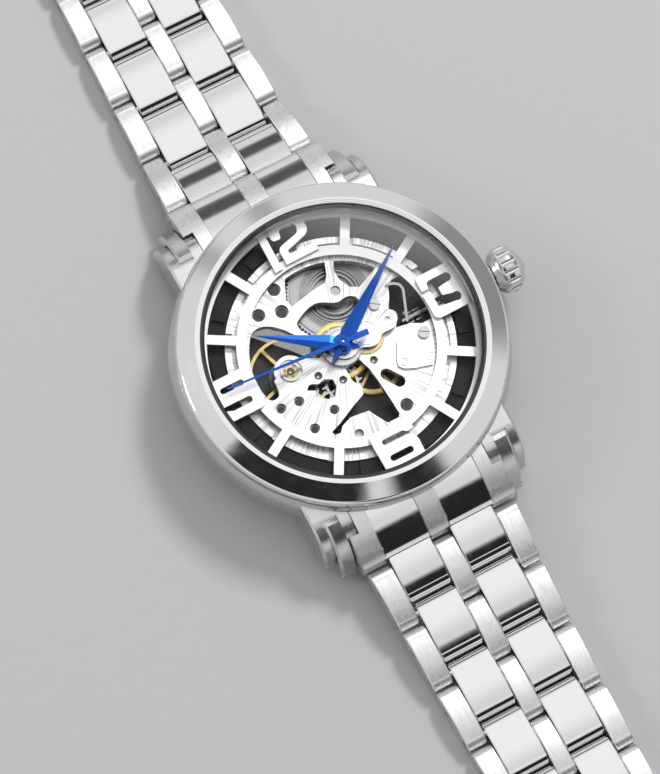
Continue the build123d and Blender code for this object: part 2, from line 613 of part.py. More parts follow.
with BuildPart() as keyless_cover_plate:
    slab([(6.6, -2.6), (8.2, -2.05), (8.6, -1.6), (9.25, -1.25), (10.5, -1.95), (11.4, -2.2), (11.0, -3.9),
          (10.2, -5.6), (9.55, -7.1), (9.2, -7.4), (7.0, -6.8), (5.7, -6.2), (5.2, -5.6), (5.35, -4.9)],
         PLATE_Z1, COVER_TOP)
    disc(10.2, -3.2, PLATE_Z1, COVER_TOP, 0.78 * SHANK_SHARE, Mode.SUBTRACT)
    for x, y in ((6.1, -5.5), (9.45, -6.3)):
        with BuildSketch(Plane.XY.offset(COVER_TOP - 0.1)):
            with Locations((x, y)):
                Circle(0.55)
                Circle(0.42, mode=Mode.SUBTRACT)
        extrude(amount=0.1, mode=Mode.SUBTRACT)
save(keyless_cover_plate, "keyless_cover_plate")

# Long thin setting lever across the winding works, with a hooked end.
with BuildPart() as setting_lever:
    with BuildSketch(Plane.XY.offset(PLATE_Z1)):
        with BuildLine():
            lever_line = Polyline((9.1, -0.75), (10.65, 3.1), (10.5, 3.9), (9.9, 4.35), (9.0, 4.6))
            offset(lever_line, amount=0.17, side=Side.BOTH)
        make_face()
    extrude(amount=0.3)
save(setting_lever, "setting_lever")


def bridge_body(points):
    """Bridge below the wheels: an outline clipped to the plate's rim."""
    with BuildSketch(Plane.XY.offset(BRIDGE_Z0)) as profile:
        Polygon(*points, align=None)
        Circle(PLATE_R, mode=Mode.INTERSECT)
    extrude(profile.sketch, amount=BRIDGE_Z1 - BRIDGE_Z0)


def back_screw_holes():
    """Shank holes of the screws on the back."""
    for x, y in BACK_SCREWS:
        disc(x, y, BRIDGE_Z0, BRIDGE_Z1, BACK_HEAD_R * SHANK_SHARE, Mode.SUBTRACT)


BRIDGE_SPLIT = -0.9
with BuildPart() as barrel_bridge:
    bridge_body([(-15, 9.0), (-6.5, 7.6), (-1.2, 3.0), (1.6, 1.4), (7.4, BRIDGE_SPLIT), (15, -2.0),
                 (15, 15), (-15, 15)])
    disc(*BARREL, BRIDGE_Z0, BRIDGE_Z1, ARBOR_HOLE_R, Mode.SUBTRACT)
    disc(*CROWN_WHEEL, BRIDGE_Z0, BRIDGE_Z1, 0.4, Mode.SUBTRACT)
    back_screw_holes()
save(barrel_bridge, "barrel_bridge")

with BuildPart() as train_bridge:
    bridge_body([(-4.6, -15), (-5.6, -4.6), (-2.9, -1.9), (-2.6, 1.6), (-1.3, 2.85), (1.5, 1.2),
                 (7.3, BRIDGE_SPLIT - 0.2),
                 (15, -2.2), (15, -15)])
    for x, y in (THIRD, ESCAPE, (0, 0)):
        disc(x, y, BRIDGE_Z0, BRIDGE_Z1, JEWEL_R, Mode.SUBTRACT)
    back_screw_holes()
save(train_bridge, "train_bridge")

with BuildPart() as balance_cock:
    bridge_body([(-15, 8.6), (-9.0, 7.2), (-5.4, 3.4), (-3.1, 0.6), (-3.1, -1.8), (-5.9, -4.8),
                 (-9.0, -6.4), (-15, -7.6)])
    disc(*BALANCE, BRIDGE_Z0, BRIDGE_Z1, JEWEL_R, Mode.SUBTRACT)
    back_screw_holes()
save(balance_cock, "balance_cock")

# Small bridge under the pallet fork, hung from the main plate on one foot.
PALLET_FOOT = (-8.15, -3.75)
PALLET_BRIDGE_Z = (5.95, 6.2)
with BuildPart() as pallet_bridge:
    with BuildSketch(Plane.XY.offset(PALLET_BRIDGE_Z[0])):
        with BuildLine():
            arm_line = Line(PALLET, PALLET_FOOT)
            offset(arm_line, amount=0.75, side=Side.BOTH)
        make_face()
    extrude(amount=PALLET_BRIDGE_Z[1] - PALLET_BRIDGE_Z[0])
    disc(*PALLET_FOOT, PALLET_BRIDGE_Z[1], PLATE_Z0, 0.6)
    disc(*PALLET_FOOT, DEEP_SEAT - SCREW_LENGTH, PLATE_Z0, 0.45 * SHANK_SHARE, Mode.SUBTRACT)
    disc(*PALLET, *PALLET_BRIDGE_Z, JEWEL_R, Mode.SUBTRACT)
save(pallet_bridge, "pallet_bridge")

with BuildPart() as movement_screws:
    for (x, y), seat, head_r, turn in DIAL_SIDE_SCREWS:
        screw(x, y, seat, head_r, 1, turn)
    for i, (x, y) in enumerate(BACK_SCREWS):
        screw(x, y, BRIDGE_Z0, BACK_HEAD_R, -1, 37 * i, length=BRIDGE_Z1 - BRIDGE_Z0)
save(movement_screws, "movement_screws")

JEWEL_THICK = 0.6
with BuildPart() as jewels:
    for x, y in PIVOTS:
        tube(x, y, 7.1, 7.1 + JEWEL_THICK, JEWEL_R, JEWEL_BORE)
    for x, y in (THIRD, ESCAPE, BALANCE, (0, 0)):
        tube(x, y, 4.0, 4.0 + JEWEL_THICK, JEWEL_R, JEWEL_BORE)
    tube(*PALLET, PALLET_BRIDGE_Z[0] + 0.02, PALLET_BRIDGE_Z[1], JEWEL_R, JEWEL_BORE)
    tube(*BALANCE, 7.35, 7.85, 0.75, JEWEL_BORE)
save(jewels, "jewels")

# ======================= movement: going train =======================
with BuildPart() as barrel:
    disc(*BARREL, 5.45, 6.5, 5.6)
    toothed(*BARREL, 6.15, 6.45, 78, 6.05, BARREL_TIP_R)
    disc(*BARREL, 6.5, 6.62, 5.75)
    disc(*BARREL, 5.6, 6.5, 5.3, Mode.SUBTRACT)
    disc(*BARREL, 6.5, 6.62, 4.6, Mode.SUBTRACT)
    disc(*BARREL, 5.45, 5.6, ARBOR_HOLE_R, Mode.SUBTRACT)
save(barrel, "barrel")

with BuildPart() as mainspring:
    with BuildSketch(Plane.XY.offset(5.7)):
        with Locations(BARREL):
            Polygon(*spiral_outline(1.35, 5.1, 9, 0.16, power=0.45), align=None)
    extrude(amount=0.7)
save(mainspring, "mainspring")

RATCHET_TIP_R = 5.4
with BuildPart() as ratchet_wheel:
    disc(*BARREL, 3.4, 7.9, 0.6)
    disc(*BARREL, 5.65, 6.45, 1.2)
    toothed(*BARREL, 3.4, 3.7, 48, RATCHET_TIP_R - 0.25, RATCHET_TIP_R)
save(ratchet_wheel, "ratchet_wheel")

CROWN_WHEEL_TIP_R = 3.95
with BuildPart() as crown_wheel:
    toothed(*CROWN_WHEEL, 3.4, 3.7, 30, CROWN_WHEEL_TIP_R - 0.25, CROWN_WHEEL_TIP_R)
    disc(*CROWN_WHEEL, 3.7, 4.7, 0.36)
save(crown_wheel, "crown_wheel")

with BuildPart() as center_wheel:
    toothed(0, 0, 6.72, 6.9, 80, 3.65, 3.87)
    crossings(0, 0, 6.72, 6.9, 1.0, 3.2, 5, 0.35, turn=20)
    toothed(0, 0, 6.0, 6.6, 14, 0.9, CENTER_PINION_TIP_R)
    disc(0, 0, 6.0, 9.2, 0.32)
    disc(0, 0, 6.0, 9.2, 0.2, Mode.SUBTRACT)
save(center_wheel, "center_wheel")

with BuildPart() as third_wheel:
    toothed(*THIRD, 5.5, 5.68, 75, 3.65, 3.87)
    crossings(*THIRD, 5.5, 5.68, 0.8, 3.2, 5, 0.35)
    toothed(*THIRD, 5.68, 6.95, 10, 0.36, 0.49)
    disc(*THIRD, 4.2, 7.6, PIVOT_R)
save(third_wheel, "third_wheel")

with BuildPart() as fourth_wheel:
    toothed(0, 0, 5.1, 5.26, 96, 3.7, 3.88)
    crossings(0, 0, 5.1, 5.26, 0.8, 3.3, 5, 0.3)
    toothed(0, 0, 5.26, 5.9, 10, 0.37, 0.5)
    disc(0, 0, 4.1, 11.1, PIVOT_R)
save(fourth_wheel, "fourth_wheel")

# Escape wheel: 20 raked club teeth.
ESCAPE_TEETH = 20
escape_points = []
for i in range(ESCAPE_TEETH):
    for radius, share in ((2.15, 0.0), (2.62, 0.30), (2.7, 0.48), (2.2, 0.52)):
        angle = 2 * pi * (i + share) / ESCAPE_TEETH
        escape_points.append((radius * cos(angle), radius * sin(angle)))
with BuildPart() as escape_wheel:
    with BuildSketch(Plane.XY.offset(6.3)):
        with Locations(ESCAPE):
            Polygon(*escape_points, align=None)
    extrude(amount=0.16)
    crossings(*ESCAPE, 6.3, 6.46, 0.6, 1.85, 4, 0.28, turn=15)
    toothed(*ESCAPE, 5.0, 6.3, 8, 0.24, 0.33)
    disc(*ESCAPE, 4.2, 7.6, PIVOT_R)
save(escape_wheel, "escape_wheel")

# Pallet fork: two arms round the escape wheel and a forked tail towards the balance.
to_escape = atan2(ESCAPE[1] - PALLET[1], ESCAPE[0] - PALLET[0])
to_balance = atan2(BALANCE[1] - PALLET[1], BALANCE[0] - PALLET[0])
fork_length = hypot(BALANCE[0] - PALLET[0], BALANCE[1] - PALLET[1]) - 1.05


def from_pallet(along, across, heading):
    """Point measured from the pallet arbor along and across a heading."""
    return (PALLET[0] + along * cos(heading) - across * sin(heading),
            PALLET[1] + along * sin(heading) + across * cos(heading))


with BuildPart() as pallet_fork:
    slab([from_pallet(a, b, to_escape) for a, b in
          ((-0.3, -0.35), (0.1, -2.3), (0.95, -2.35), (1.0, -2.0), (0.45, -1.85), (0.25, -0.5), (0.25, 0.5),
           (0.45, 1.85), (1.0, 2.0), (0.95, 2.35), (0.1, 2.3), (-0.3, 0.35))], 6.3, 6.46)
    slab([from_pallet(a, b, to_balance) for a, b in
          ((0.0, -0.3), (fork_length - 0.5, -0.12), (fork_length, -0.38), (fork_length, -0.18),
           (fork_length - 0.3, 0.0), (fork_length, 0.18), (fork_length, 0.38), (fork_length - 0.5, 0.12),
           (0.0, 0.3))],
         6.3, 6.46)
    disc(*PALLET, 6.3, 6.46, 0.4)
    disc(*PALLET, 6.0, 7.6, PIVOT_R)
save(pallet_fork, "pallet_fork")

BALANCE_RIM_R = 5.2
with BuildPart() as balance_wheel:
    disc(*BALANCE, 5.5, 5.85, BALANCE_RIM_R)
    crossings(*BALANCE, 5.5, 5.85, 0.7, BALANCE_RIM_R - 0.4, 4, 0.42, turn=18.5)
    disc(*BALANCE, 4.2, 7.7, PIVOT_R)
    disc(*BALANCE, 6.55, 6.7, 0.95)
    with BuildSketch(Plane.XY.offset(6.2)):
        with Locations((BALANCE[0] + 0.75 * cos(to_balance + pi / 2),
                        BALANCE[1] + 0.75 * sin(to_balance + pi / 2))):
            Circle(0.1)
    extrude(amount=0.35)
save(balance_wheel, "balance_wheel")

HAIRSPRING_Z = 5.15
with BuildPart() as hairspring:
    with BuildSketch(Plane.XY.offset(HAIRSPRING_Z)):
        with Locations(BALANCE):
            Polygon(*spiral_outline(0.5, 2.6, 9, 0.06), align=None)
    extrude(amount=0.14)
save(hairspring, "hairspring")

# ======================= motion works and hands =======================
with BuildPart() as cannon_pinion:
    toothed(0, 0, 8.25, 8.5, 12, 0.72, 0.84)
    disc(0, 0, 8.5, 10.45, 0.58)
    disc(0, 0, 8.25, 10.45, 0.36, Mode.SUBTRACT)
save(cannon_pinion, "cannon_pinion")

with BuildPart() as minute_wheel:
    toothed(*MINUTE_WORK, 8.27, 8.45, 36, 2.35, 2.52)
    crossings(*MINUTE_WORK, 8.27, 8.45, 0.9, 2.05, 4, 0.35)
    toothed(*MINUTE_WORK, 8.45, 8.88, 10, 0.52, 0.65)
    disc(*MINUTE_WORK, 7.1, 9.15, 0.17)
save(minute_wheel, "minute_wheel")

with BuildPart() as hour_wheel:
    toothed(0, 0, 8.6, 8.8, 40, 2.52, 2.7)
    disc(0, 0, 8.8, 9.85, 0.95)
    disc(0, 0, 8.6, 9.85, 0.63, Mode.SUBTRACT)
save(hour_wheel, "hour_wheel")


def spear_hand(clock, length, tail, wide_at, width, z0, thick, ridge, hub_r, hole_r):
    """Spear hand with four facets that meet on a ridge, and a short pointed tail."""
    heading = Plane(origin=(0, 0, z0), x_dir=(cos(radians(clock)), -sin(radians(clock)), 0), z_dir=(0, 0,
                                                                                                    1))
    outline = [(0.0, length), (-width / 2, wide_at), (0.0, -tail), (width / 2, wide_at)]
    with BuildSketch(heading) as profile:
        Polygon(*outline, align=None)
    extrude(profile.sketch, amount=thick)
    with BuildSketch(heading.offset(thick)) as crown_face:
        Polygon(*outline, align=None)
    apex = heading.offset(thick + ridge).from_local_coords((0.0, wide_at, 0.0))
    loft([crown_face.sketch.face(), Vertex(*apex)])
    disc(0, 0, z0, z0 + thick + ridge * 0.8, hub_r)
    disc(0, 0, z0, z0 + thick + ridge + 0.1, hole_r, Mode.SUBTRACT)


with BuildPart() as hour_hand:
    spear_hand(HOUR_ANGLE, 11.4, 2.6, 1.6, 2.1, 9.6, 0.12, 0.22, 1.3, 0.95)
save(hour_hand, "hour_hand")

with BuildPart() as minute_hand:
    spear_hand(MINUTE_ANGLE, 15.4, 3.2, 1.6, 2.0, 10.15, 0.12, 0.22, 1.0, 0.58)
save(minute_hand, "minute_hand")

SECONDS_Z = 10.8
with BuildPart() as seconds_hand:
    heading = Plane(origin=(0, 0, SECONDS_Z), x_dir=(cos(radians(SECOND_ANGLE)),
                                                     -sin(radians(SECOND_ANGLE)), 0),
                    z_dir=(0, 0, 1))
    with BuildSketch(heading):
        Polygon((-0.1, 15.9), (-0.27, 0.0), (0.27, 0.0), (0.1, 15.9), align=None)
        Polygon((-0.25, 0.0), (-0.25, -1.2), (-0.4, -1.4), (-0.4, -3.5), (0.4, -3.5), (0.4, -1.4),
                (0.25, -1.2),
                (0.25, 0.0), align=None)
        Circle(0.75)
        Circle(PIVOT_R, mode=Mode.SUBTRACT)
    extrude(amount=0.14)
    tube(0, 0, SECONDS_Z + 0.14, SECONDS_Z + 0.42, 0.6, 0.36)
save(seconds_hand, "seconds_hand")

# ======================= automatic winding =======================
ROTOR_R = 13.2
with BuildPart() as rotor:
    with BuildSketch(Plane.XY.offset(3.0)):
        Circle(ROTOR_R)
        Rectangle(2 * ROTOR_R, ROTOR_R, align=(Align.CENTER, Align.MIN), mode=Mode.SUBTRACT)
        Circle(3.0)
        with Locations((-6.2, -5.2), (6.2, -5.2)):
            Circle(2.3, mode=Mode.SUBTRACT)
    extrude(amount=0.25)
    with BuildSketch(Plane.XY.offset(2.3)):
        Circle(ROTOR_R)
        Circle(11.0, mode=Mode.SUBTRACT)
        Rectangle(2 * ROTOR_R, ROTOR_R, align=(Align.CENTER, Align.MIN), mode=Mode.SUBTRACT)
    extrude(amount=0.95)
    disc(0, 0, 2.95, 3.35, 3.0)
    disc(0, 0, 2.9, 3.4, 1.56, Mode.SUBTRACT)
save(rotor, "rotor")

with BuildPart() as rotor_bearing:
    disc(0, 0, 2.9, BRIDGE_Z0, 1.5)
    disc(0, 0, 2.65, 2.9, 2.0)
    with BuildSketch(Plane.XY.offset(2.65)):
        with PolarLocations(1.4, 3):
            Circle(0.3)
    extrude(amount=0.15, mode=Mode.SUBTRACT)
save(rotor_bearing, "rotor_bearing")

# ======================= crown and stem =======================
stem_axis = Axis((0, 0, STEM_Z), (1, 0, 0))
TUBE_IN_R = 0.85
FLUTES = 16


def along_stem(x0, x1, outer, inner=0.0):
    """Round bar or ring on the stem's axis."""
    with BuildSketch(Plane.YZ.offset(x0)) as profile:
        with Locations((0, STEM_Z)):
            Circle(outer)
            if inner:
                Circle(inner, mode=Mode.SUBTRACT)
    extrude(profile.sketch, amount=x1 - x0)


with BuildPart() as crown_tube:
    along_stem(18.0, 23.2, TUBE_OUT_R, TUBE_IN_R)
save(crown_tube, "crown_tube")

with BuildPart() as winding_stem:
    along_stem(9.0, 25.4, STEM_R)
    for x0, x1 in ((9.6, 10.5), (10.8, 11.8)):
        with BuildSketch(Plane.YZ.offset(x0)):
            with Locations((0, STEM_Z)):
                Polygon(*tooth_outline(12, 0.58, 0.75), align=None)
        extrude(amount=x1 - x0)
save(winding_stem, "winding_stem")

with BuildPart() as crown_gasket:
    along_stem(21.8, 22.3, 0.8, 0.5)
save(crown_gasket, "crown_gasket")

CAP_R = 2.54
CAP_EDGE = 45.0
CAP_FLAT = 5.0


def cap_point(angle):
    """Point on the crown's round end cap, measured from the stem's axis."""
    return (CROWN_X1 - CAP_R + CAP_R * cos(radians(angle)), STEM_Z + CAP_R * sin(radians(angle)))


# Onion-shaped crown, fluted round its bulge and hollow where it covers the tube.
with BuildPart() as crown:
    with BuildSketch(Plane.XZ):
        with BuildLine():
            Polyline((cap_point(CAP_FLAT)[0], STEM_Z), (CROWN_X0, STEM_Z), (CROWN_X0, STEM_Z + 2.0),
                     (CROWN_X0 + 0.35, STEM_Z + 2.35))
            ThreePointArc((CROWN_X0 + 0.35, STEM_Z + 2.35), (CROWN_X0 + 2.0, STEM_Z + 3.2),
                          (CROWN_X0 + 3.7, STEM_Z + 2.15))
            Line((CROWN_X0 + 3.7, STEM_Z + 2.15), cap_point(CAP_EDGE))
            ThreePointArc(cap_point(CAP_EDGE), cap_point(CAP_EDGE / 2), cap_point(CAP_FLAT))
            Line(cap_point(CAP_FLAT), (cap_point(CAP_FLAT)[0], STEM_Z))
        make_face()
    revolve(axis=stem_axis)
    with BuildSketch(Plane.YZ.offset(CROWN_X0 + 0.3)):
        with Locations((0, STEM_Z)):
            with PolarLocations(3.35, FLUTES):
                Circle(0.42)
    extrude(amount=3.3, mode=Mode.SUBTRACT)
    with BuildSketch(Plane.YZ.offset(CROWN_X0)):
        with Locations((0, STEM_Z)):
            Circle(1.45)
    extrude(amount=1.7, mode=Mode.SUBTRACT)
    with BuildSketch(Plane.YZ.offset(CROWN_X0)):
        with Locations((0, STEM_Z)):
            Circle(STEM_R)
    extrude(amount=25.4 - CROWN_X0, mode=Mode.SUBTRACT)
save(crown, "crown")

# ======================= bracelet =======================
CENTER_SHARE = 0.13
POLISHED_SHARE = 0.287
CROSS_PIN_R = 0.4
EDGE_BREAK = 0.14


def rows(width):
    """X limits of the centre, polished and outer rows of a link of this width."""
    center = CENTER_SHARE * width / 2
    polished = center + POLISHED_SHARE * width
    return center, polished, width / 2


def side_plane(side, pin, slope, x=0.0):
    """Plane across the bracelet at a pin: local X runs outward along the link, local Y up from it."""
    slope = radians(slope)
    return Plane(origin=(side * x, pin[0], pin[1]), x_dir=(0, side * cos(slope), -sin(slope)), z_dir=(side,
                                                                                                      0, 0))


def plan_plane(side, pin, slope):
    """Plane of a link seen from above: local X runs outward along the link."""
    slope = radians(slope)
    return Plane(origin=(0, pin[0], pin[1]), x_dir=(0, side * cos(slope), -sin(slope)),
                 z_dir=(0, side * sin(slope), cos(slope)))


def link_piece(side, pin, slope, x0, x1, s0, s1, holes, taper=None):
    """One piece of a link: rounded ends, a gently domed top, broken edges and cross holes."""
    with BuildPart() as piece:
        with BuildSketch(side_plane(side, pin, slope, x0)):
            with BuildLine():
                r = KNUCKLE_R
                Line((s0 + r, -r), (s1 - r, -r))
                ThreePointArc((s1 - r, -r), (s1, 0), (s1 - r, r))
                ThreePointArc((s1 - r, r), ((s0 + s1) / 2, r + CROWNING), (s0 + r, r))
                ThreePointArc((s0 + r, r), (s0, 0), (s0 + r, -r))
            make_face()
        extrude(amount=x1 - x0)
        if taper:
            with BuildSketch(plan_plane(side, pin, slope)):
                for flip in (1, -1):
                    Polygon((s0, flip * taper[0]), (s1, flip * taper[1]), (s1, flip * (taper[0] + 2)),
                            (s0, flip * (taper[0] + 2)), align=None)
            extrude(amount=3, both=True, mode=Mode.SUBTRACT)
        flanks = piece.faces().sort_by(Axis.X)
        chamfer(flanks[0].edges() + flanks[-1].edges(), EDGE_BREAK)
        for s, radius in holes:
            with BuildSketch(side_plane(side, pin, slope, x0 - 1)):
                with Locations((s, 0)):
                    Circle(radius)
            extrude(amount=x1 - x0 + 2, mode=Mode.SUBTRACT)
    return piece.part


def cross_pin(side, pin, slope, s, radius, half_length):
    """Round pin across the bracelet."""
    with BuildPart() as bar:
        with BuildSketch(side_plane(side, pin, slope, -half_length)):
            with Locations((s, 0)):
                Circle(radius)
        extrude(amount=2 * half_length)
    return bar.part


def link_parts(side, pin, slope, width, far_width, last):
    """The five pieces of a link, the pin that ties them and the pin on which the link turns."""
    center, polished, outer = rows(width)
    gap = ROW_GAP / 2
    inner_holes = ((0.0, PIN_R), (PITCH / 2, CROSS_PIN_R))
    outer_holes = ((PITCH, PIN_R if last else PIN_R + PIN_FIT), (PITCH / 2, CROSS_PIN_R))
    inner_span = (-KNUCKLE_R, PITCH - KNUCKLE_R - JOINT_GAP)
    outer_span = (KNUCKLE_R + JOINT_GAP, PITCH + KNUCKLE_R)
    pieces = [link_piece(side, pin, slope, -center + gap, center - gap, *outer_span, outer_holes)]
    for flip in (1, -1):
        low, high = sorted((flip * (center + gap), flip * (polished - gap)))
        pieces.append(link_piece(side, pin, slope, low, high, *inner_span, inner_holes))
        low, high = sorted((flip * (polished + gap), flip * outer))
        pieces.append(link_piece(side, pin, slope, low, high, *outer_span, outer_holes,
                                 taper=(width / 2, far_width / 2)))
    pieces.append(cross_pin(side, pin, slope, PITCH / 2, CROSS_PIN_R, far_width / 2 - 0.4))
    pieces.append(cross_pin(side, pin, slope, 0.0, PIN_R, width / 2 - 0.4))
    if last:
        pieces.append(cross_pin(side, pin, slope, PITCH, PIN_R, far_width / 2 - 0.4))
    return pieces


def next_pin(side, pin, slope):
    """Place of the next hinge pin along the bracelet."""
    return (pin[0] + side * PITCH * cos(radians(slope)), pin[1] - PITCH * sin(radians(slope)))


for side, half, slopes in ((1, "upper", SLOPES_12), (-1, "lower", SLOPES_6)):
    pin = (side * HINGE_Y, HINGE_Z)
    for n, slope in enumerate(slopes):
        free_end = side == -1 and n == len(slopes) - 1
        solids = link_parts(side, pin, slope, LINK_WIDTHS[n], LINK_WIDTHS[n + 1], free_end)
        with BuildPart() as link:
            add(solids)
        save(link, f"{half}_link_{n + 1}")
        pin = next_pin(side, pin, slope)
        if side == 1 and n == len(slopes) - 1:
            clasp_pin = pin


def end_profile(drop):
    """Side outline of the bracelet's end piece, in Y and Z, with its top lowered by drop."""
    foot = (HINGE_Y, HINGE_Z - KNUCKLE_R)
    nose = (HINGE_Y + KNUCKLE_R * cos(radians(30)), HINGE_Z + KNUCKLE_R * sin(radians(30)))
    brow = (HINGE_Y + 0.95, 6.1 - drop)
    crest = (HINGE_Y - 0.4, 7.05 - drop)
    Polyline((19.0, 8.55 - drop), (19.0, HINGE_Z - KNUCKLE_R), foot)
    ThreePointArc(foot, (HINGE_Y + KNUCKLE_R, HINGE_Z), nose)
    Line(nose, brow)
    TangentArc(crest, brow, tangent=(1, -0.46))
    ThreePointArc(crest, (22.3, 8.05 - drop), (19.0, 8.55 - drop))


END_HALF = LUG_GAP / 2 - 0.05
END_ROWS = rows(2 * END_HALF)
END_DROP = 0.45
LIP_Z = HINGE_Z + KNUCKLE_R + 0.25
with BuildPart() as end_link:
    edges = (-END_HALF, -END_ROWS[1], -END_ROWS[0], END_ROWS[0], END_ROWS[1], END_HALF)
    for low, high in zip(edges[:-1], edges[1:]):
        x0 = low if low == -END_HALF else low + ROW_GAP
        x1 = high if high == END_HALF else high - ROW_GAP
        with BuildSketch(Plane.YZ.offset(x0)):
            with BuildLine():
                end_profile(0.0)
            make_face()
        extrude(amount=x1 - x0)
    with BuildSketch(Plane.YZ.offset(-END_HALF)):
        with BuildLine():
            end_profile(END_DROP)
        make_face()
    extrude(amount=2 * END_HALF)
    # Pockets under a lip for the first link's polished pieces, which turn on their pin.
    first_rows = rows(LINK_WIDTHS[0])
    for flip in (1, -1):
        x0, x1 = sorted((flip * (first_rows[0] - 0.15), flip * (first_rows[1] + 0.15)))
        with BuildSketch(Plane.YZ.offset(x0)):
            with Locations((HINGE_Y, HINGE_Z)):
                Circle(KNUCKLE_R + JOINT_GAP)
            Polygon((HINGE_Y - 0.2, 0), (HINGE_Y + 4, 0), (HINGE_Y + 4, LIP_Z), (HINGE_Y - 0.2, LIP_Z),
                    align=None)
        extrude(amount=x1 - x0, mode=Mode.SUBTRACT)
    for place, radius in (((BAR_Y, BAR_Z), BAR_R), ((HINGE_Y, HINGE_Z), PIN_R + PIN_FIT)):
        with BuildSketch(Plane.YZ.offset(-END_HALF)):
            with Locations(place):
                Circle(radius)
        extrude(amount=2 * END_HALF, mode=Mode.SUBTRACT)
    disc(0, 0, 0, 10, RECESS_R + 0.05, Mode.SUBTRACT)
    # Notches for the case's small tabs.
    with BuildSketch(Plane.XY.offset(TAB_Z0 - 0.1)):
        for flip in (1, -1):
            with Locations((flip * (TAB_X0 + 1 - 0.12), 19.5)):
                Rectangle(2, 2 * (TAB_Y1 + 0.12 - 19.5))
    extrude(amount=10, mode=Mode.SUBTRACT)
with BuildPart() as end_links:
    add(end_link.part)
    add(mirror(end_link.part, about=Plane.XZ, mode=Mode.PRIVATE))
save(end_links, "end_links")

with BuildPart() as spring_bars:
    for side in (1, -1):
        for radius, half_length in ((BAR_R, END_HALF - 0.05), (BAR_TIP_R, LUG_X0 + 1.2)):
            with BuildSketch(Plane.YZ.offset(-half_length)):
                with Locations((side * BAR_Y, BAR_Z)):
                    Circle(radius)
            extrude(amount=2 * half_length)
save(spring_bars, "spring_bars")

# ======================= clasp =======================
CLASP_WALL = 0.8
CLASP_HALF = 9.2
BLADE_HALF = 4.6
BLADE_PIN = (CLASP_LENGTH - 2.2, -0.1)
SHORT_PIN = (7.5, -0.35)


def clasp_plane(x):
    """Plane across the clasp at a given X."""
    return side_plane(1, clasp_pin, 0.0, x)


with BuildPart() as clasp_cover:
    with BuildSketch(clasp_plane(-CLASP_HALF)):
        with BuildLine():
            Polyline((2.1, 0.9), (2.1, -1.25), (CLASP_LENGTH, -1.25), (CLASP_LENGTH, 0.9))
            ThreePointArc((CLASP_LENGTH, 0.9), (CLASP_LENGTH - 0.25, 1.5), (CLASP_LENGTH - 0.9, 1.7))
            Line((CLASP_LENGTH - 0.9, 1.7), (3.0, 1.7))
            ThreePointArc((3.0, 1.7), (2.35, 1.5), (2.1, 0.9))
        make_face()
    extrude(amount=2 * CLASP_HALF)
    chamfer(clasp_cover.edges().filter_by(Axis.Y).sort_by(Axis.Z)[-2:], 0.5)
    with BuildSketch(clasp_plane(-CLASP_HALF + CLASP_WALL)):
        Polygon((2.0, -1.5), (CLASP_LENGTH + 1, -1.5), (CLASP_LENGTH + 1, 0.85), (2.0, 0.85), align=None)
    extrude(amount=2 * (CLASP_HALF - CLASP_WALL), mode=Mode.SUBTRACT)
    for flip in (1, -1):
        center, polished, outer = rows(LINK_WIDTHS[len(SLOPES_12)])
        x0, x1 = sorted((flip * (center + 0.1), flip * (polished - 0.1)))
        with BuildSketch(clasp_plane(x0)):
            Circle(KNUCKLE_R)
            Polygon((0.0, -0.6), (3.4, 0.2), (3.4, 1.7), (2.6, 1.7), (0.0, KNUCKLE_R), align=None)
            Circle(PIN_R, mode=Mode.SUBTRACT)
        extrude(amount=x1 - x0)
    for hub, half_length in (((0.0, 0.0), outer - 0.6), (BLADE_PIN, CLASP_HALF - 0.1)):
        with BuildSketch(clasp_plane(-half_length)):
            with Locations(hub):
                Circle(PIN_R)
        extrude(amount=2 * half_length)
save(clasp_cover, "clasp_cover")

with BuildPart() as clasp_long_blade:
    with BuildSketch(clasp_plane(-BLADE_HALF)):
        with Locations(BLADE_PIN):
            Circle(0.9)
        Polygon((SHORT_PIN[0], -0.1), (SHORT_PIN[0], 0.6), (BLADE_PIN[0], 0.6), (BLADE_PIN[0], -0.1),
                align=None)
        with Locations(SHORT_PIN):
            Circle(0.85)
    extrude(amount=2 * BLADE_HALF)
    with BuildSketch(clasp_plane(-BLADE_HALF)):
        with Locations(BLADE_PIN):
            Circle(PIN_R + PIN_FIT)
        with Locations(SHORT_PIN):
            Circle(0.4)
    extrude(amount=2 * BLADE_HALF, mode=Mode.SUBTRACT)
    with BuildSketch(clasp_plane(-2.9)):
        with Locations(SHORT_PIN):
            Circle(1.0)
    extrude(amount=5.8, mode=Mode.SUBTRACT)
    with BuildSketch(clasp_plane(-BLADE_HALF + 0.2)):
        with Locations(SHORT_PIN):
            Circle(0.4)
    extrude(amount=2 * BLADE_HALF - 0.4)
save(clasp_long_blade, "clasp_long_blade")

with BuildPart() as clasp_short_blade:
    with BuildSketch(clasp_plane(-2.75)):
        with Locations(SHORT_PIN):
            Circle(0.85)
        Polygon((SHORT_PIN[0], -1.15), (SHORT_PIN[0] + 19.0, -1.15), (SHORT_PIN[0] + 19.0, -0.55),
                (SHORT_PIN[0], -0.55),
                align=None)
        with Locations(SHORT_PIN):
            Circle(0.44, mode=Mode.SUBTRACT)
    extrude(amount=5.5)
save(clasp_short_blade, "clasp_short_blade")
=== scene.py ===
from math import cos, radians, sin

import bpy
from mathutils import Matrix, Vector


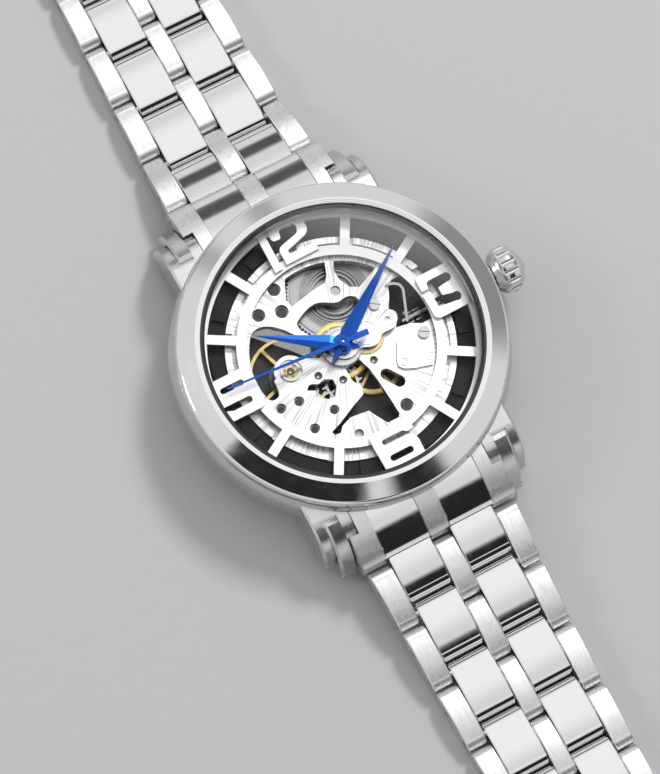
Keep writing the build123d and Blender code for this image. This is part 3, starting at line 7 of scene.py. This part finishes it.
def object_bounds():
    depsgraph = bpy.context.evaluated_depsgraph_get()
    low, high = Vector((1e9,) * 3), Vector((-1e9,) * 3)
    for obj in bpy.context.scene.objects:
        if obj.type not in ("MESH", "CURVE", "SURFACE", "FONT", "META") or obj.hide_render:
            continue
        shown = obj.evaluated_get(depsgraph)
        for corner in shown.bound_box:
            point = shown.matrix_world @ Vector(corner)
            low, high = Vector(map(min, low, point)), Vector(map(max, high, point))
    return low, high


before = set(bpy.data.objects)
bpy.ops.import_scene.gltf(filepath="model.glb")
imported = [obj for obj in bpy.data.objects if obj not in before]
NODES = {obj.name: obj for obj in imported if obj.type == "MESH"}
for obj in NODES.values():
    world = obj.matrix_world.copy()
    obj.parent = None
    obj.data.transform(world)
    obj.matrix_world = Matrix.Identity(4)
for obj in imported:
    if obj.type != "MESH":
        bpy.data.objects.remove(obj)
CAD_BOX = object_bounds()
MM = 0.001

# ------------------------------------------------------------------ shader helpers
# Noise mostly lies between these two levels.
NOISE_LOW = 0.3
NOISE_HIGH = 0.7
# Heights of the surface relief, in metres.
RAY_RELIEF = 0.03 * MM
RELIEF = 0.02 * MM
FINE_RELIEF = 0.01 * MM
# Z of the normal on a face that counts as upright, and on one that counts as flat, for the painted shade on
# side faces.
UPRIGHT = 0.35
FLAT = 0.8
COOL_CAST = 1.01


class Shader:
    """A node tree with short calls for the nodes that these materials use."""

    def __init__(self, name):
        self.material = bpy.data.materials.new(name)
        self.material.use_nodes = True
        self.tree = self.material.node_tree
        self.tree.nodes.clear()
        self.surface = self.tree.nodes.new("ShaderNodeBsdfPrincipled")
        output = self.tree.nodes.new("ShaderNodeOutputMaterial")
        self.tree.links.new(self.surface.outputs["BSDF"], output.inputs["Surface"])

    def node(self, kind, **settings):
        made = self.tree.nodes.new(kind)
        for key, value in settings.items():
            setattr(made, key, value)
        return made

    def plug(self, value, socket):
        """Link an output to a socket, or set the socket to a plain value."""
        if isinstance(value, bpy.types.NodeSocket):
            self.tree.links.new(value, socket)
        else:
            socket.default_value = value

    def set(self, **values):
        """Set or link inputs of the surface by name, with _ for a space."""
        for name, value in values.items():
            self.plug(value, self.surface.inputs[name.replace("_", " ")])

    def math(self, operation, a, b=0.0, c=0.0):
        made = self.node("ShaderNodeMath", operation=operation)
        for socket, value in zip(made.inputs, (a, b, c)):
            self.plug(value, socket)
        return made.outputs[0]

    def position(self):
        """Place on the object, in millimetres."""
        place = self.node("ShaderNodeTexCoord").outputs["Object"]
        scale = self.node("ShaderNodeVectorMath", operation="SCALE")
        self.plug(place, scale.inputs[0])
        scale.inputs["Scale"].default_value = 1 / MM
        return scale.outputs[0]

    def split(self, vector):
        made = self.node("ShaderNodeSeparateXYZ")
        self.plug(vector, made.inputs[0])
        return made.outputs

    def join(self, x, y, z):
        made = self.node("ShaderNodeCombineXYZ")
        for socket, value in zip(made.inputs, (x, y, z)):
            self.plug(value, socket)
        return made.outputs[0]

    def from_axis(self, center):
        """X and Y from an upright axis through a centre, the distance from it, and Z, in millimetres."""
        x, y, z = self.split(self.position())
        dx = self.math("SUBTRACT", x, center[0])
        dy = self.math("SUBTRACT", y, center[1])
        squares = self.math("ADD", self.math("MULTIPLY", dx, dx), self.math("MULTIPLY", dy, dy))
        return dx, dy, self.math("POWER", squares, 0.5), z

    def stretch(self, vector, x, y, z):
        made = self.node("ShaderNodeVectorMath", operation="MULTIPLY")
        self.plug(vector, made.inputs[0])
        made.inputs[1].default_value = (x, y, z)
        return made.outputs[0]

    def noise(self, vector, scale, detail=3.0, roughness=0.55):
        made = self.node("ShaderNodeTexNoise")
        self.plug(vector, made.inputs["Vector"])
        made.inputs["Scale"].default_value = scale
        made.inputs["Detail"].default_value = detail
        made.inputs["Roughness"].default_value = roughness
        return made.outputs["Fac"]

    def ramp(self, value, low, high, out_low, out_high):
        """Map a value from one range to another, clamped."""
        made = self.node("ShaderNodeMapRange")
        for socket, number in zip(made.inputs, (value, low, high, out_low, out_high)):
            self.plug(number, socket)
        return made.outputs[0]

    def spread(self, noise, out_low=0.0, out_high=1.0):
        """Map a noise's usual levels to a range, clamped."""
        return self.ramp(noise, NOISE_LOW, NOISE_HIGH, out_low, out_high)

    def step(self, value, edge, softness, out_low=0.0, out_high=1.0):
        """Go from one value to another across an edge."""
        return self.ramp(value, edge - softness, edge + softness, out_low, out_high)

    def mix(self, factor, a, b):
        """Mix two colours."""
        made = self.node("ShaderNodeMix", data_type="RGBA")
        self.plug(factor, made.inputs[0])
        self.plug(a, made.inputs[6])
        self.plug(b, made.inputs[7])
        return made.outputs[2]

    def blend(self, factor, a, b):
        """Mix two numbers."""
        made = self.node("ShaderNodeMix", data_type="FLOAT")
        self.plug(factor, made.inputs[0])
        self.plug(a, made.inputs[2])
        self.plug(b, made.inputs[3])
        return made.outputs[0]

    def painted_side_shade(self, base, share):
        """The colour on faces that look up or down, and a darker share of it on upright side faces as
        painted shade.
        """
        normal = self.node("ShaderNodeNewGeometry").outputs["True Normal"]
        lying = self.math("ABSOLUTE", self.split(normal)[2])
        return self.mix(self.ramp(lying, UPRIGHT, FLAT, 0.0, 1.0), darker(base, share), base)

    def bump(self, height, strength, distance=RELIEF):
        made = self.node("ShaderNodeBump")
        made.inputs["Strength"].default_value = strength
        made.inputs["Distance"].default_value = distance
        self.plug(height, made.inputs["Height"])
        return made.outputs[0]


def rgb(r, g, b):
    return (r, g, b, 1.0)


def grey(level):
    return (level, level, level * COOL_CAST, 1.0)


def darker(color, share):
    return tuple(c * share for c in color[:3]) + (1.0,)


# ------------------------------------------------------------------ metals
GOLD = rgb(0.78, 0.62, 0.26)


def brushed(name, color, along, rough=0.28):
    """Brushed metal with fine streaks along one axis, given as 0, 1 or 2."""
    across_scale, along_scale = 9.0, 0.25
    streak = 0.10
    s = Shader(name)
    place = s.position()
    squeeze = [across_scale] * 3
    squeeze[along] = along_scale
    fine = s.noise(s.stretch(place, *squeeze), 1.0, 4.0, 0.65)
    broad = s.noise(place, 0.35, 2.0)
    s.set(Metallic=1.0, Base_Color=s.mix(s.spread(fine), darker(color, 0.86), color))
    streaks = s.ramp(fine, 0.25, 0.75, rough - streak, rough + streak)
    s.set(Roughness=s.math("ADD", streaks, s.spread(broad, -0.03, 0.03)), Normal=s.bump(fine, 0.35))
    return s.material


def polished(name, color, rough=0.07):
    """Polished metal with a faint bloom of wear and hairline scratches."""
    bloom_rough, hair_rough = 0.07, 0.06
    s = Shader(name)
    place = s.position()
    bloom = s.noise(place, 0.5, 3.0)
    hair = s.noise(s.stretch(place, 14.0, 0.8, 6.0), 1.0, 2.0)
    wear = s.ramp(bloom, 0.35, 0.75, rough, rough + bloom_rough)
    scratches = s.ramp(hair, 0.62, 0.75, 0.0, hair_rough)
    s.set(Metallic=1.0, Base_Color=color)
    s.set(Roughness=s.math("ADD", wear, scratches), Normal=s.bump(bloom, 0.04))
    return s.material


CENTER_SHARE = 0.13
POLISHED_SHARE = 0.287
ROW_EDGE = 0.01


def link_steel(name, width):
    """Bracelet steel: brushed centre and outer rows, polished rows between them, across a given width."""
    center = CENTER_SHARE * width / 2
    limit = center + POLISHED_SHARE * width
    s = Shader(name)
    place = s.position()
    x = s.math("ABSOLUTE", s.split(place)[0])
    polished_row = s.math("MULTIPLY", s.step(x, center, ROW_EDGE), s.step(x, limit, ROW_EDGE, 1.0, 0.0))
    fine = s.noise(s.stretch(place, 11.0, 0.22, 6.0), 1.0, 4.0, 0.65)
    bloom = s.noise(place, 0.6, 3.0)
    brushed_rough = s.ramp(fine, 0.25, 0.75, 0.24, 0.42)
    bright_rough = s.ramp(bloom, 0.35, 0.75, 0.05, 0.11)
    streak = s.math("MAXIMUM", s.spread(fine), polished_row)
    height = s.math("MULTIPLY", fine, s.math("SUBTRACT", 1.0, polished_row))
    s.set(Metallic=1.0, Base_Color=s.mix(streak, grey(0.62), grey(0.80)))
    s.set(Roughness=s.blend(polished_row, brushed_rough, bright_rough), Normal=s.bump(height, 0.35))
    return s.material


def radial(name, color, center=(0.0, 0.0), rough=0.3, strength=0.3):
    """Metal brushed in rays from a centre, as on a watch plate."""
    rays_per_radian, along_ray = 55.0, 0.12
    s = Shader(name)
    dx, dy, reach, z = s.from_axis(center)
    angle = s.math("ARCTAN2", dy, dx)
    place = s.join(s.math("MULTIPLY", angle, rays_per_radian), s.math("MULTIPLY", reach, along_ray), z)
    rays = s.noise(place, 1.0, 4.0, 0.7)
    lit = s.ramp(rays, 0.35, 0.60, 0.0, 1.0)
    # Upright side faces keep 6% of the colour: painted shade.
    s.set(Metallic=1.0, Base_Color=s.mix(lit, darker(color, 0.45), s.painted_side_shade(color, 0.06)))
    s.set(Roughness=s.spread(rays, rough - 0.08, rough + 0.1), Normal=s.bump(rays, strength, RAY_RELIEF))
    return s.material


def turned(name, color, center, rough=0.3):
    """Metal turned on a lathe: fine rings round a centre."""
    rings_per_mm, along_axis = 14.0, 2.0
    s = Shader(name)
    dx, dy, reach, z = s.from_axis(center)
    place = s.join(s.math("MULTIPLY", reach, rings_per_mm), s.math("MULTIPLY", z, along_axis), 0.0)
    grooves = s.noise(place, 1.0, 3.0, 0.6)
    s.set(Metallic=1.0, Base_Color=s.mix(s.spread(grooves), darker(color, 0.75), color))
    s.set(Roughness=s.spread(grooves, rough - 0.08, rough + 0.08), Normal=s.bump(grooves, 0.3))
    return s.material


def coated(name, color, rough, grain=6.0, depth=0.2, metallic=0.0, contrast=0.85, painted_side_shade=1.0, gloss=0.5):
    """Paint, plastic or rubber with a fine grain, its side faces darkened to a share of the colour as
    painted shade.
    """
    s = Shader(name)
    fine = s.noise(s.position(), grain, 4.0, 0.6)
    s.set(Metallic=metallic, Specular_IOR_Level=gloss)
    # Upright side faces keep only the given share of the colour: painted shade.
    s.set(Base_Color=s.mix(s.spread(fine), darker(color, contrast), s.painted_side_shade(color, painted_side_shade)))
    s.set(Roughness=s.spread(fine, rough - 0.05, rough + 0.05), Normal=s.bump(fine, depth))
    return s.material


def clear_glass(name, painted_glare=2.2):
    """Thin clear crystal as a mirror that lets through all but its Fresnel share.

    The coating keeps most of that share away; towards 1 and 2 o'clock the share rises into a veil of
    painted reflection.
    """
    coating = 0.12
    glare_from, glare_to = 11.0, 21.0
    s = Shader(name)
    place = s.position()
    film = s.noise(place, 0.12, 2.0)
    fresnel = s.node("ShaderNodeFresnel")
    fresnel.inputs["IOR"].default_value = 1.5
    x, y, _ = s.split(place)
    # Painted reflection: the mirror share rises from the coating's level towards 1 and 2 o'clock into a
    # glare.
    painted_glare_share = s.ramp(s.math("ADD", x, y), glare_from, glare_to, coating, coating + painted_glare)
    s.set(Base_Color=grey(1.0), Metallic=1.0, Roughness=s.spread(film, 0.01, 0.03))
    s.set(Alpha=s.math("MULTIPLY", fresnel.outputs[0], painted_glare_share))
    return s.material


def screw_metal(name, plate_top):
    """Screw steel: bright on the heads above the main plate, and darkened as painted shade for those deep
    in its holes.
    """
    s = Shader(name)
    place = s.position()
    turned_face = s.noise(s.stretch(place, 3.0, 3.0, 9.0), 1.5, 3.0)
    # Below the top of the main plate the screws are painted near-black as painted shade in the holes; their
    # side faces get painted shade too.
    out_of_painted_shade = s.step(s.split(place)[2], plate_top, 0.1)
    s.set(Metallic=1.0, Base_Color=s.mix(out_of_painted_shade, grey(0.07), s.painted_side_shade(grey(0.6), 0.15)))
    s.set(Roughness=s.spread(turned_face, 0.14, 0.26), Normal=s.bump(turned_face, 0.08))
    return s.material


def shock_metal(name, center, gilt_radius):
    """Polished steel setting with a gilt spring in its middle."""
    s = Shader(name)
    dx, dy, reach, z = s.from_axis(center)
    cloud = s.noise(s.position(), 4.0, 2.0)
    outer = s.step(reach, gilt_radius, 0.02)
    # Upright side faces of the gilt spring and the steel are darkened as painted shade.
    s.set(Metallic=1.0, Base_Color=s.mix(outer, s.painted_side_shade(GOLD, 0.3), s.painted_side_shade(grey(0.75), 0.15)))
    s.set(Roughness=s.spread(cloud, 0.12, 0.22), Normal=s.bump(cloud, 0.05, FINE_RELIEF))
    return s.material


def blued(name):
    """Heat-blued steel: deep blue, lighter in places."""
    s = Shader(name)
    place = s.position()
    broad = s.noise(place, 0.4, 2.0)
    fine = s.noise(place, 12.0, 3.0)
    s.set(Metallic=1.0, Base_Color=s.mix(broad, rgb(0.008, 0.065, 0.33), rgb(0.015, 0.10, 0.50)))
    s.set(Roughness=s.spread(fine, 0.24, 0.34), Normal=s.bump(fine, 0.06, FINE_RELIEF))
    return s.material


def jewel(name):
    """Polished synthetic jewel, dark and glossy."""
    s = Shader(name)
    cloud = s.noise(s.position(), 3.0, 2.0)
    s.set(Base_Color=s.mix(cloud, rgb(0.05, 0.05, 0.06), rgb(0.16, 0.15, 0.16)))
    s.set(Roughness=0.05, Coat_Weight=1.0)
    return s.material


# ------------------------------------------------------------------ materials on the CAD nodes


def dress(material, *names):
    """Give CAD nodes a material."""
    for name in names:
        slots = NODES[name].data.materials
        slots.clear()
        slots.append(material)


# Places and sizes in the CAD, in millimetres.
PLATE_TOP = 8.2
MIDDLE = (0.0, 0.0)
BARREL = (2.9, 6.95)
BALANCE = (-7.25, 0.2)
THIRD_WHEEL = (2.85, -3.35)
MINUTE_WORK = (3.4, 0.0)
SHOCK_GILT_R = 0.95

dress(brushed("case_steel", grey(0.66), 2, rough=0.22), "case_middle")
dress(polished("bezel_steel", grey(0.80)), "bezel")
dress(polished("crown_steel", grey(0.72), rough=0.12), "crown")
dress(radial("back_steel", grey(0.62)), "case_back_ring")
dress(clear_glass("crystal_glass"), "crystal")
dress(clear_glass("back_glass", painted_glare=0.0), "case_back_crystal")
dress(coated("gasket_black", grey(0.02), 0.6), "case_gaskets", "crown_gasket")
dress(coated("ring_black", rgb(0.012, 0.013, 0.015), 0.42, grain=4.0, gloss=0.12), "movement_ring")
dress(turned("rehaut_grey", grey(0.32), MIDDLE), "rehaut_ring")
# The dial and the numerals keep only 4–5% of their colour on side faces: painted shade that draws dark
# outlines.
dress(coated("dial_silver", grey(0.78), 0.36, grain=9.0, depth=0.3, metallic=0.8, contrast=0.9, painted_side_shade=0.05),
      "dial")
dress(coated("numeral_silver", grey(0.86), 0.3, grain=8.0, depth=0.1, metallic=0.9, contrast=0.94,
             painted_side_shade=0.04), "hour_numerals")
dress(radial("plate_silver", grey(0.86), rough=0.34, strength=0.35), "main_plate")
# The bridges under the main plate get a near-black colour as painted shade for the parts seen deep in the
# plate's openings.
dress(radial("bridge_painted_shade", grey(0.05), rough=0.36),
      "barrel_bridge", "train_bridge", "balance_cock", "pallet_bridge")
dress(radial("rotor_silver", grey(0.5)), "rotor")
dress(radial("works_silver", grey(0.88), center=MINUTE_WORK, rough=0.26), "motion_works_bridge")
# The cover plate keeps only 5% of its colour on side faces: painted shade.
dress(coated("cover_silver", grey(0.82), 0.3, grain=7.0, metallic=1.0, painted_side_shade=0.05), "keyless_cover_plate")
dress(screw_metal("screw_steel", PLATE_TOP), "movement_screws")
dress(polished("lever_steel", grey(0.45), rough=0.16), "setting_lever", "rotor_bearing")
dress(turned("barrel_steel", grey(0.50), BARREL, rough=0.24), "barrel", "ratchet_wheel", "crown_wheel")
dress(polished("spring_steel", grey(0.42), rough=0.2), "mainspring")
dress(polished("hair_steel", grey(0.3), rough=0.25), "hairspring")
dress(turned("gilt_center", GOLD, MIDDLE), "center_wheel", "fourth_wheel")
dress(turned("hour_steel", grey(0.62), MIDDLE, rough=0.22), "hour_wheel")
dress(turned("gilt_third", GOLD, THIRD_WHEEL), "third_wheel")
dress(turned("gilt_minute", GOLD, MINUTE_WORK), "minute_wheel")
dress(polished("gilt_balance", GOLD, rough=0.16), "balance_wheel")
dress(shock_metal("shock_steel", BALANCE, SHOCK_GILT_R), "shock_setting")
dress(polished("wheel_steel", grey(0.6), rough=0.18),
      "escape_wheel", "pallet_fork", "cannon_pinion", "winding_stem")
dress(polished("tube_steel", grey(0.6), rough=0.2), "crown_tube", "spring_bars")
dress(jewel("jewel_dark"), "jewels")
dress(blued("blued_steel"), "hour_hand", "minute_hand", "seconds_hand")

LINK_WIDTHS = (21.2, 20.3, 19.8, 19.3, 18.9, 18.5)
END_LINK_WIDTH = 21.9
for half, count in (("upper", 5), ("lower", 6)):
    for n, width in enumerate(LINK_WIDTHS[:count], start=1):
        dress(link_steel(f"steel_{half}_{n}", width), f"{half}_link_{n}")
dress(link_steel("steel_end_links", END_LINK_WIDTH), "end_links")
dress(brushed("clasp_steel", grey(0.66), 1), "clasp_cover")
dress(polished("blade_steel", grey(0.62), rough=0.12), "clasp_long_blade", "clasp_short_blade")

# ------------------------------------------------------------------ floor
FLOOR_HALF = 2.5
floor_mesh = bpy.data.meshes.new("floor")
corners = [(-FLOOR_HALF, -FLOOR_HALF, 0), (FLOOR_HALF, -FLOOR_HALF, 0),
           (FLOOR_HALF, FLOOR_HALF, 0), (-FLOOR_HALF, FLOOR_HALF, 0)]
floor_mesh.from_pydata(corners, [], [(0, 1, 2, 3)])
floor = bpy.data.objects.new("floor", floor_mesh)
bpy.context.scene.collection.objects.link(floor)
floor.location.z = CAD_BOX[0][2]
floor_mesh.materials.append(coated("floor_pale", grey(0.42), 0.7, grain=0.5, depth=0.02, contrast=0.96))

# ------------------------------------------------------------------ camera
# Found from the case and the bracelet in the photo: angles in degrees, the distance in metres.
VIEW_AZ = -43.2
VIEW_EL = 74.0
VIEW_ROLL = 15.2
VIEW_DISTANCE = 0.42
TARGET = Vector((-3.95, -4.08, 9.0)) * MM
# Pixels per millimetre at the target, and the picture's height in pixels.
PIXELS_PER_MM = 7.93
PICTURE_HEIGHT = 774
SENSOR_HEIGHT = 36.0
NEAREST_SEEN = 0.01

az, el, roll = radians(VIEW_AZ), radians(VIEW_EL), radians(VIEW_ROLL)
back = Vector((sin(az) * cos(el), -cos(az) * cos(el), sin(el)))
right = Vector((cos(az), sin(az), 0.0))
up = back.cross(right)
right_rolled = cos(roll) * right + sin(roll) * up
up_rolled = -sin(roll) * right + cos(roll) * up
lens = bpy.data.cameras.new("camera")
lens.sensor_fit = "VERTICAL"
lens.sensor_height = SENSOR_HEIGHT
lens.lens = PIXELS_PER_MM * VIEW_DISTANCE / MM / PICTURE_HEIGHT * SENSOR_HEIGHT
lens.clip_start = NEAREST_SEEN
camera = bpy.data.objects.new("camera", lens)
bpy.context.scene.collection.objects.link(camera)
turn = Matrix((right_rolled, up_rolled, back)).transposed().to_4x4()
camera.matrix_world = Matrix.Translation(TARGET + back * VIEW_DISTANCE) @ turn
bpy.context.scene.camera = camera

# ------------------------------------------------------------------ light
LIGHT_AIM = Vector((0, 0, 0.005))


def softbox(name, where, size, power):
    """Square area light aimed at the watch: place and size in metres, power in watts."""
    data = bpy.data.lights.new(name, "AREA")
    data.shape = "SQUARE"
    data.size = size
    data.energy = power
    lamp = bpy.data.objects.new(name, data)
    bpy.context.scene.collection.objects.link(lamp)
    lamp.location = where
    lamp.rotation_euler = (LIGHT_AIM - Vector(where)).to_track_quat("-Z", "Y").to_euler()


softbox("key", (0.42, 0.30, 0.62), 0.16, 4.0)
softbox("rim", (-0.60, 0.30, 0.40), 0.20, 1.2)


def direction(azimuth, elevation):
    """Unit vector towards a place in the studio, from its azimuth and elevation in degrees.

    The azimuth runs clockwise from +Y, and the elevation is above the floor.
    """
    a, e = radians(azimuth), radians(elevation)
    return Vector((sin(a) * cos(e), cos(a) * cos(e), sin(e)))


# The studio's walls and ceiling: a bright tent with dark gaps, given as soft round patches.
TENT = 0.80
DARKEST = 0.02
PATCHES = (
    # azimuth, elevation, half width and soft edge in degrees, brightness added
    (206.0, 52.0, 8.0, 4.0, -0.9),
    (228.0, 53.0, 8.0, 4.0, -0.9),
    (250.0, 53.0, 8.0, 4.0, -0.9),
    (161.0, 53.0, 6.0, 6.0, -0.85),
    (166.0, 34.0, 9.0, 5.0, -0.85),
    (188.0, 30.0, 9.0, 5.0, -0.85),
    (12.0, 32.0, 4.0, 5.0, -0.7),
    (345.0, 22.0, 7.0, 5.0, -0.6),
    (78.0, 24.0, 12.0, 16.0, -0.5),
    (48.0, 72.0, 8.0, 22.0, 0.25),
)
world = bpy.data.worlds.new("studio")
bpy.context.scene.world = world
world.use_nodes = True
studio = world.node_tree
background = studio.nodes["Background"]
ray = studio.nodes.new("ShaderNodeTexCoord").outputs["Generated"]
total = TENT


def combine(operation, value, level):
    """Combine a link or a number with a level in the studio's node tree."""
    made = studio.nodes.new("ShaderNodeMath")
    made.operation = operation
    for source, socket in ((value, made.inputs[0]), (level, made.inputs[1])):
        if isinstance(source, bpy.types.NodeSocket):
            studio.links.new(source, socket)
        else:
            socket.default_value = source
    return made.outputs[0]


for azimuth, elevation, half_width, edge, bright in PATCHES:
    facing = studio.nodes.new("ShaderNodeVectorMath")
    facing.operation = "DOT_PRODUCT"
    studio.links.new(ray, facing.inputs[0])
    facing.inputs[1].default_value = direction(azimuth, elevation)
    patch = studio.nodes.new("ShaderNodeMapRange")
    patch.interpolation_type = "SMOOTHSTEP"
    studio.links.new(facing.outputs["Value"], patch.inputs["Value"])
    patch.inputs["From Min"].default_value = cos(radians(half_width + edge))
    patch.inputs["From Max"].default_value = cos(radians(half_width))
    patch.inputs["To Min"].default_value = 0.0
    patch.inputs["To Max"].default_value = bright
    total = combine("ADD", patch.outputs[0], total)
studio.links.new(combine("MAXIMUM", total, DARKEST), background.inputs["Strength"])
background.inputs["Color"].default_value = (1.0, 1.0, 1.0, 1.0)

bpy.context.scene.view_settings.view_transform = "Standard"
